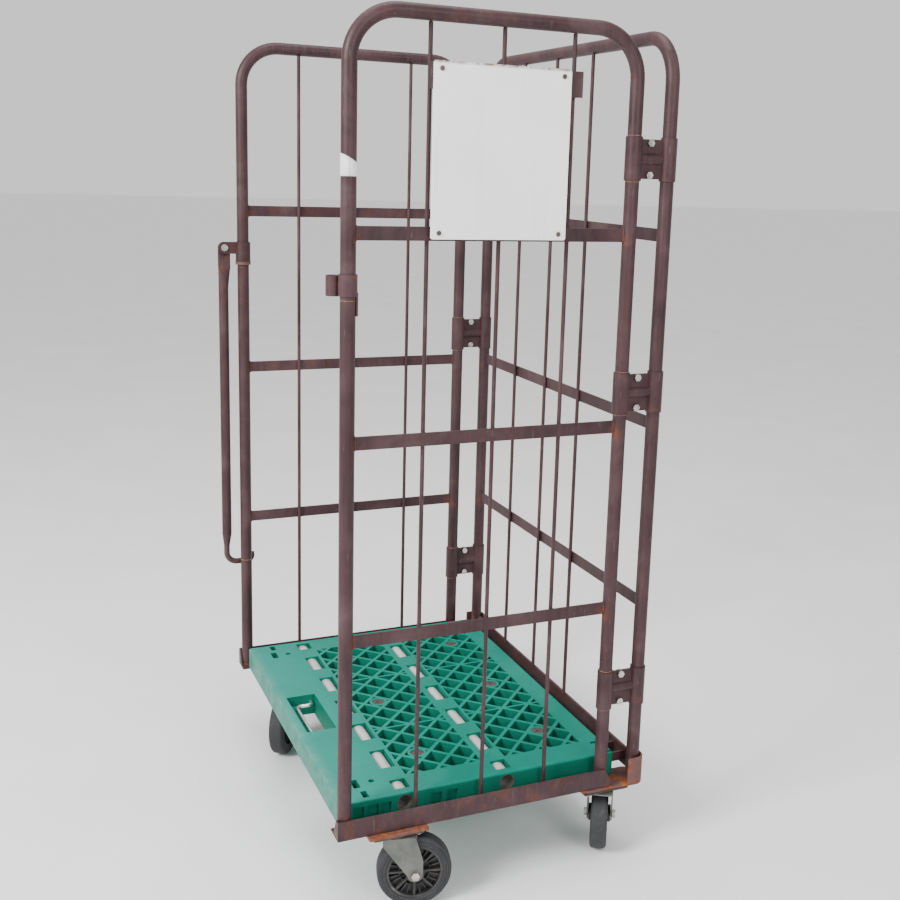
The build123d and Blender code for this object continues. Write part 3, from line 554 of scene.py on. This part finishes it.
def lathe(name, outline, centre, axis, material, body, steps=96):
    """Spin an outline of (along, radius) points round an axis through centre."""
    side = axis.orthogonal().normalized()
    other = axis.cross(side)
    mesh = bmesh.new()
    rings = []
    for step in range(steps):
        angle = 2 * math.pi * step / steps
        out = side * math.cos(angle) + other * math.sin(angle)
        rings.append([mesh.verts.new(centre + axis * along + out * reach) for along, reach in outline])
    count = len(outline)
    for step in range(steps):
        first, second = rings[step], rings[(step + 1) % steps]
        for at in range(count):
            after = (at + 1) % count
            mesh.faces.new((first[at], second[at], second[after], first[after]))
    bmesh.ops.recalc_face_normals(mesh, faces=mesh.faces)
    return new_object(name, mesh, material, body)


# ---------------------------------------------------------------- frame tubes, rails and welds
def post_centres(hoop):
    """Plan centres of a hoop's two posts, and the tube's radius."""
    low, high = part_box(hoop)
    if high.x - low.x < high.y - low.y:
        radius = (high.x - low.x) / 2
        middle = (low.x + high.x) / 2
        return [Vector((middle, low.y + radius, 0)), Vector((middle, high.y - radius, 0))], radius
    radius = (high.y - low.y) / 2
    middle = (low.y + high.y) / 2
    return [Vector((low.x + radius, middle, 0)), Vector((high.x - radius, middle, 0))], radius


def joint_points(prefix):
    """Where the cross rails of a panel meet its posts."""
    posts, radius = post_centres(prefix + "_hoop")
    inward = (posts[1] - posts[0]).normalized()
    spots = []
    for low, high in loose_boxes(prefix + "_cross_rails"):
        for post, way in ((posts[0], inward), (posts[1], -inward)):
            spots.append((post + way * radius, low.z, high.z, way))
    return spots


RAIL_SIDE_BEAD = 0.0021
RAIL_END_BEAD = 0.0020
ROD_BEAD = 0.0016
ROD_HEAD_BEAD = 0.0042
FOOT_BEAD = 0.0022
LATCH_RUB_HEIGHTS = {"right": 1.1955, "left": 0.4500}


def make_panel_welds(prefix, body, material):
    """Weld beads at rail ends, at rod crossings and round the feet of the posts."""
    mesh = bmesh.new()
    seed = 100
    rail_boxes = loose_boxes(prefix + "_cross_rails")
    low, high = rail_boxes[0]
    thin = "x" if high.x - low.x < high.y - low.y else "y"
    half = (getattr(high, thin) - getattr(low, thin)) / 2
    sideways = Vector((half, 0, 0)) if thin == "x" else Vector((0, half, 0))
    for at, bottom, top, way in joint_points(prefix):
        at = at + way * 0.0006
        for sign in (1, -1):
            seed += 1
            start = at + sideways * sign + Vector((0, 0, bottom - 0.0005))
            end = at + sideways * sign + Vector((0, 0, top + 0.0005))
            add_bead(mesh, start, end, RAIL_SIDE_BEAD, seed)
        for level in (bottom, top):
            seed += 1
            middle = at + Vector((0, 0, level))
            add_bead(mesh, middle - sideways, middle + sideways, RAIL_END_BEAD, seed, lumps=4)
    for rod_low, rod_high in loose_boxes(prefix + "_rods"):
        rod = (rod_low + rod_high) / 2
        face = Vector(((low.x + high.x) / 2, (low.y + high.y) / 2, 0))
        for rail_low, rail_high in rail_boxes:
            for level in (rail_low.z, rail_high.z):
                seed += 1
                spot = Vector((rod.x, rod.y, level))
                setattr(spot, thin, (getattr(rod, thin) + getattr(face, thin)) / 2)
                along = Vector((0, 0.0035, 0)) if thin == "x" else Vector((0.0035, 0, 0))
                add_bead(mesh, spot - along, spot + along, ROD_BEAD, seed, lumps=4, sides=6)
        seed += 1
        head = Vector((rod.x, rod.y, rod_high.z))
        lift = Vector((0, 0, 0.002))
        add_bead(mesh, head - lift * 1.5, head + lift * 0.5, ROD_HEAD_BEAD, seed, lumps=4)
    posts, radius = post_centres(prefix + "_hoop")
    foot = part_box(prefix + "_hoop")[0].z
    for post in posts:
        seed += 1
        add_ring_bead(mesh, Vector((post.x, post.y, foot + 0.0012)), radius, FOOT_BEAD, seed)
    new_object(prefix + "_weld_beads", mesh, material, body)


def make_rub_rings(prefix, material):
    """Thin bare lines worn into the pivot post at the ends of each clamp sleeve."""
    posts, radius = post_centres(prefix + "_hoop")
    mesh = bmesh.new()
    seed = 500
    for low, high in loose_boxes("hinge_clamps_outer"):
        if (low.x > 0) != (posts[1].x > 0):
            continue
        for level in (low.z - 0.0016, high.z + 0.0016):
            seed += 1
            centre = Vector((posts[1].x, posts[1].y, level))
            add_ring_bead(mesh, centre, radius - 0.0001, 0.0007, seed, turns=40, sides=6)
    new_object(prefix + "_rub_rings", mesh, material, prefix + "_side")


def make_latch_rubs(material):
    """Worn rings on the front posts, under the latch socket and where the hook rests."""
    for prefix, level in LATCH_RUB_HEIGHTS.items():
        posts, radius = post_centres(prefix + "_hoop")
        mesh = bmesh.new()
        centre = Vector((posts[0].x, posts[0].y, level))
        add_ring_bead(mesh, centre, radius - 0.0001, 0.0008, 7, turns=40, sides=6)
        new_object(prefix + "_latch_rub", mesh, material, prefix + "_side")


def make_tape(material):
    """Strip of white tape wrapped round the right front post, with a slanting top edge."""
    posts, radius = post_centres("right_hoop")
    post = posts[0]
    bottom, top_front, top_rear = 1.408, 1.446, 1.430
    reach = radius + 0.0004
    mesh = bmesh.new()
    steps, rows = 40, 6
    columns = []
    for step in range(steps + 1):
        angle = 2 * math.pi * step / steps * 1.06 - 0.5
        lift = 0.0003 if step > steps * 0.94 else 0.0
        crown = top_front + (top_rear - top_front) * (0.5 + 0.5 * math.sin(angle))
        ragged = 0.0006 * dice.random()
        column = []
        for row in range(rows + 1):
            share = row / rows
            z = bottom + ragged + (crown - bottom) * share
            swell = reach + lift + 0.00015 * math.sin(share * 9 + step)
            x = post.x + swell * math.cos(angle)
            y = post.y + swell * math.sin(angle)
            column.append(mesh.verts.new((x, y, z)))
        columns.append(column)
    for first, second in zip(columns, columns[1:]):
        for row in range(rows):
            mesh.faces.new((first[row], second[row], second[row + 1], first[row + 1]))
    piece = new_object("tape_wrap", mesh, material, "right_side")
    thick = piece.modifiers.new("thickness", "SOLIDIFY")
    thick.thickness = 0.0003
    thick.offset = 1
    bake_modifiers(piece)


# ---------------------------------------------------------------- casters
def joint_named(name):
    return next(joint for joint in frame["joints"] if joint["name"] == name)


def wheel_points(name, node):
    """Mesh points of a wheel piece as pairs of distance along the axle and distance from it."""
    spin = joint_named(name + "_wheel_spin")
    centre, axis = Vector(spin["pos_m"]), Vector(spin["axis"]).normalized()
    pairs = []
    for vert in frame["nodes"][node].data.vertices:
        along = (vert.co - centre).dot(axis)
        pairs.append((along, (vert.co - centre - axis * along).length))
    return pairs


def wheel_hub_radius(name):
    return max(reach for along, reach in wheel_points(name, name + "_hub"))


def wheel_half_width(name):
    return max(along for along, reach in wheel_points(name, name + "_tyre"))


def make_hub_ribs(name, material):
    """Short radial ribs and an inner ring that stiffen both faces of the moulded hub."""
    spin = joint_named(name + "_wheel_spin")
    centre, axis = Vector(spin["pos_m"]), Vector(spin["axis"]).normalized()
    side = axis.orthogonal().normalized()
    other = axis.cross(side)
    rim = wheel_hub_radius(name) - 0.006
    mesh = bmesh.new()
    for face in (1, -1):
        for step in range(24):
            if step % 3 == 0:
                continue
            angle = 2 * math.pi * step / 24
            out = side * math.cos(angle) + other * math.sin(angle)
            turn = axis.cross(out)
            inner = 0.0185 if step % 3 == 1 else 0.030
            near, far = centre + out * inner, centre + out * (rim + 0.002)
            low, high = 0.003, 0.0085 if step % 3 == 1 else 0.0105
            corners = []
            for spot, wide in ((near, 0.0009), (far, 0.0016)):
                for along, swell in ((low, 1.5), (high, 1.0)):
                    for sign in (-1, 1):
                        offset = axis * along * face + turn * sign * wide * swell
                        corners.append(mesh.verts.new(spot + offset))
            a, b, c, d, e, f, g, h = corners
            for loop in ((a, b, d, c), (e, g, h, f), (c, d, h, g), (a, e, f, b), (a, c, g, e), (b, f, h, d)):
                mesh.faces.new(loop)
    bmesh.ops.recalc_face_normals(mesh, faces=mesh.faces)
    bmesh.ops.bevel(mesh, geom=mesh.edges[:], offset=0.0004, segments=1, affect="EDGES")
    new_object(name + "_hub_ribs", mesh, material, name + "_wheel", smooth=False)
    for face in (1, -1):
        ring = [(face * 0.003, 0.0285), (face * 0.0118, 0.0290), (face * 0.0122, 0.0297)]
        ring += [(face * 0.0118, 0.0304), (face * 0.003, 0.0310)]
        ring_name = name + "_hub_ring" + ("_a" if face > 0 else "_b")
        lathe(ring_name, ring, centre, axis, material, name + "_wheel")


# Sidewall as pairs: share of the half width, share of the way from the hub to the tread.
TYRE_FLANK = ((0.93, 0.0), (1.0, 0.12), (1.0, 0.30), (0.955, 0.34), (0.955, 0.40), (1.0, 0.44), (0.99, 0.62))


def make_tyre(name, material):
    """Rounded solid tyre with a raised shoulder line and a shallow sidewall groove."""
    spin = joint_named(name + "_wheel_spin")
    centre, axis = Vector(spin["pos_m"]), Vector(spin["axis"]).normalized()
    outer, inner, half = centre.z, wheel_hub_radius(name) + 0.0003, wheel_half_width(name)
    flank = [(half * share, inner + (outer - inner) * reach) for share, reach in TYRE_FLANK]
    crown = []
    for step in range(1, 10):
        angle = math.pi / 2 * step / 9
        crown.append((half * (0.55 + 0.44 * math.cos(angle)), outer - 0.0085 + 0.0083 * math.sin(angle)))
    right = flank + crown + [(half * 0.25, outer - 0.0001), (0.0005, outer)]
    outline = [(-a, r) for a, r in reversed(right)] + right
    outline = [point for at, point in enumerate(outline) if at == 0 or point != outline[at - 1]]
    piece = lathe(name + "_tyre_moulded", outline, centre, axis, material, name + "_wheel")
    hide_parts(name + "_tyre")


# ---------------------------------------------------------------- assembly
make_stage()
make_camera()

weld_spots = {prefix: joint_points(prefix) for prefix in ("right", "left", "back")}


def rust_centres(prefix):
    """Rust gathers at the rail joints and the feet of the posts."""
    posts = post_centres(prefix + "_hoop")[0]
    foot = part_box(prefix + "_hoop")[0].z
    spots = [Vector((at.x, at.y, low)) for at, low, high, way in weld_spots[prefix]]
    return spots + [Vector((post.x, post.y, foot)) for post in posts]


base_low, base_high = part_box("right_base_rail")
base_end_x = (base_low.x + 0.02, base_high.x, -base_high.x)
base_ends = [Vector((x, base_low.y, base_low.z + 0.012)) for x in base_end_x]
paints = {prefix: make_paint("paint_" + prefix, rust_centres(prefix), 0.024) for prefix in weld_spots}
rod_paint = make_paint("paint_rods", rust_share=0.50, greyed=0.75)
clamp_spots = [(low + high) / 2 for low, high in loose_boxes("hinge_clamps_outer")]
clamp_drips = [spot + Vector((0, 0.036, -0.038)) for spot in clamp_spots]
clamp_paint = make_paint("paint_clamps", clamp_drips, 0.024, rust_share=0.48, low_rust=0, spot_rust=0.35)
base_paint = make_paint("paint_base", base_ends, 0.045, rust_share=0.50, low_rust=0.34)
weld_centres = rust_centres("right") + rust_centres("left")
weld_paint = make_paint("paint_welds", weld_centres, 0.04, rust_share=0.30, low_rust=0.8)
latch_ends = [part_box("latch_collar")[0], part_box("latch_hook")[1]]
latch_paint = make_paint("paint_latch", latch_ends, 0.04, rust_share=0.44, low_rust=0)
socket_low, socket_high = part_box("latch_socket")
socket_corner = Vector((socket_low.x, socket_low.y, socket_high.z))
socket_ends = [socket_low, socket_high, socket_corner, (socket_low + socket_high) / 2]
socket_paint = make_paint("paint_socket", socket_ends, 0.030, low_rust=0)
rusty = make_rusty("rusty_steel_plate")
rubbed = make_rubbed("rubbed_steel")
deck_plastic = make_deck_plastic()
deck_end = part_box("deck_tubes")[1].x
tube_zinc = make_steel(
    "galvanised_dull", dark=(0.52, 0.51, 0.49), pale=(0.82, 0.81, 0.80),
    rough_low=0.30, rough_high=0.45, metallic=0.45, rust=0.01, darker_ends=deck_end - 0.004
)
galvanised = make_steel(
    "galvanised_bright", dark=(0.70, 0.71, 0.73), pale=(0.90, 0.91, 0.93),
    rough_low=0.18, rough_high=0.34, metallic=0.95, rust=0.01
)
zinc_pressing = make_steel(
    "zinc_pressing_dull", dark=(0.085, 0.090, 0.080), pale=(0.185, 0.190, 0.172),
    rough_low=0.38, rough_high=0.58, metallic=0.55, rust=0.05
)
# Caster top plates take a much darker copy of the zinc: painted shade, with some real rust.
shaded_plate_zinc = make_steel(
    "zinc_plate_painted_shade", dark=(0.030, 0.031, 0.028), pale=(0.075, 0.072, 0.064),
    rough_low=0.45, rough_high=0.65, metallic=0.4, rust=0.12
)
zinc_bright = make_steel(
    "zinc_fastener_bright", dark=(0.26, 0.25, 0.235), pale=(0.72, 0.71, 0.68),
    rough_low=0.20, rough_high=0.42, metallic=0.95, rust=0.07, blotch=60
)
screw_steel = make_steel(
    "screw_steel_dull", dark=(0.045, 0.030, 0.028), pale=(0.13, 0.092, 0.086),
    rough_low=0.5, rough_high=0.7, metallic=0.35, rust=0.10, blotch=60
)
rubber = make_rubber()
hub_plastic = make_hub_plastic()
sign_white = make_sign_white()
tape_white = make_tape_white()

FINISHES = {
    "tyre_rubber": rubber,
    "hub_plastic": hub_plastic,
    "zinc_pressing": zinc_pressing,
    "zinc_fastener": zinc_bright,
    "deck_plastic": deck_plastic,
    "galvanised_steel": galvanised,
    "screw_steel": screw_steel,
    "sign_plastic": sign_white,
    "rusty_steel": rusty,
    "painted_clamp": clamp_paint,
    "painted_frame": base_paint,
}
slot_of = {part["node"]: part["material_slot"] for part in frame["record"]["subparts"]}


def finish_for(node):
    """The material a node takes, from its slot and its panel."""
    for prefix, paint in paints.items():
        if node.startswith(prefix + "_") and slot_of[node] == "painted_frame" and "base_rail" not in node:
            return paint
    if node == "deck_tubes":
        return tube_zinc
    if node.endswith("_rods"):
        return rod_paint
    # Top plates get the darker zinc as painted shade.
    if node.endswith("_top_plate"):
        return shaded_plate_zinc
    if node.startswith("latch"):
        special = {"latch_rivet": zinc_bright, "latch_rest_ring": rusty, "latch_socket": socket_paint}
        return special.get(node, latch_paint)
    return FINISHES[slot_of[node]]


SOFT_EDGES = {
    "deck_board": 0.0009,
    "right_base_rail": 0.0010,
    "left_base_rail": 0.0010,
    "back_base_rail": 0.0008,
    "right_cross_rails": 0.0007,
    "left_cross_rails": 0.0007,
    "back_cross_rails": 0.0007,
    "rear_corner_plates": 0.0012,
    "right_caster_pad": 0.0012,
    "left_caster_arm": 0.0012,
    "hinge_clamps_outer": 0.0008,
    "hinge_clamps_inner": 0.0008,
    "latch_collar": 0.0008,
    "latch_socket": 0.0008,
    "latch_bar": 0.0006,
    "clamp_bolts": 0.0008,
    "deck_hinge_brackets": 0.0007,
    "deck_screws": 0.0005,
    "sign_board": 0.0006,
    "sign_screws": 0.0008,
    "latch_rivet": 0.0010,
}
for caster in CASTERS:
    SOFT_EDGES[caster + "_fork"] = 0.0008
    SOFT_EDGES[caster + "_top_plate"] = 0.0006
    SOFT_EDGES[caster + "_hub"] = 0.0008
    SOFT_EDGES[caster + "_axle"] = 0.0010

for node, piece in frame["nodes"].items():
    material = finish_for(node)
    if node in SOFT_EDGES:
        bake_modifiers(soften(node, SOFT_EDGES[node], material))
    else:
        piece.data.materials.clear()
        piece.data.materials.append(material)
        for face in piece.data.polygons:
            face.use_smooth = True

make_panel_welds("right", "right_side", weld_paint)
make_panel_welds("left", "left_side", weld_paint)
make_panel_welds("back", "root", weld_paint)
make_rub_rings("right", rubbed)
make_rub_rings("left", rubbed)
make_latch_rubs(rubbed)
make_tape(tape_white)
for caster in CASTERS:
    make_tyre(caster, rubber)
    make_hub_ribs(caster, hub_plastic)
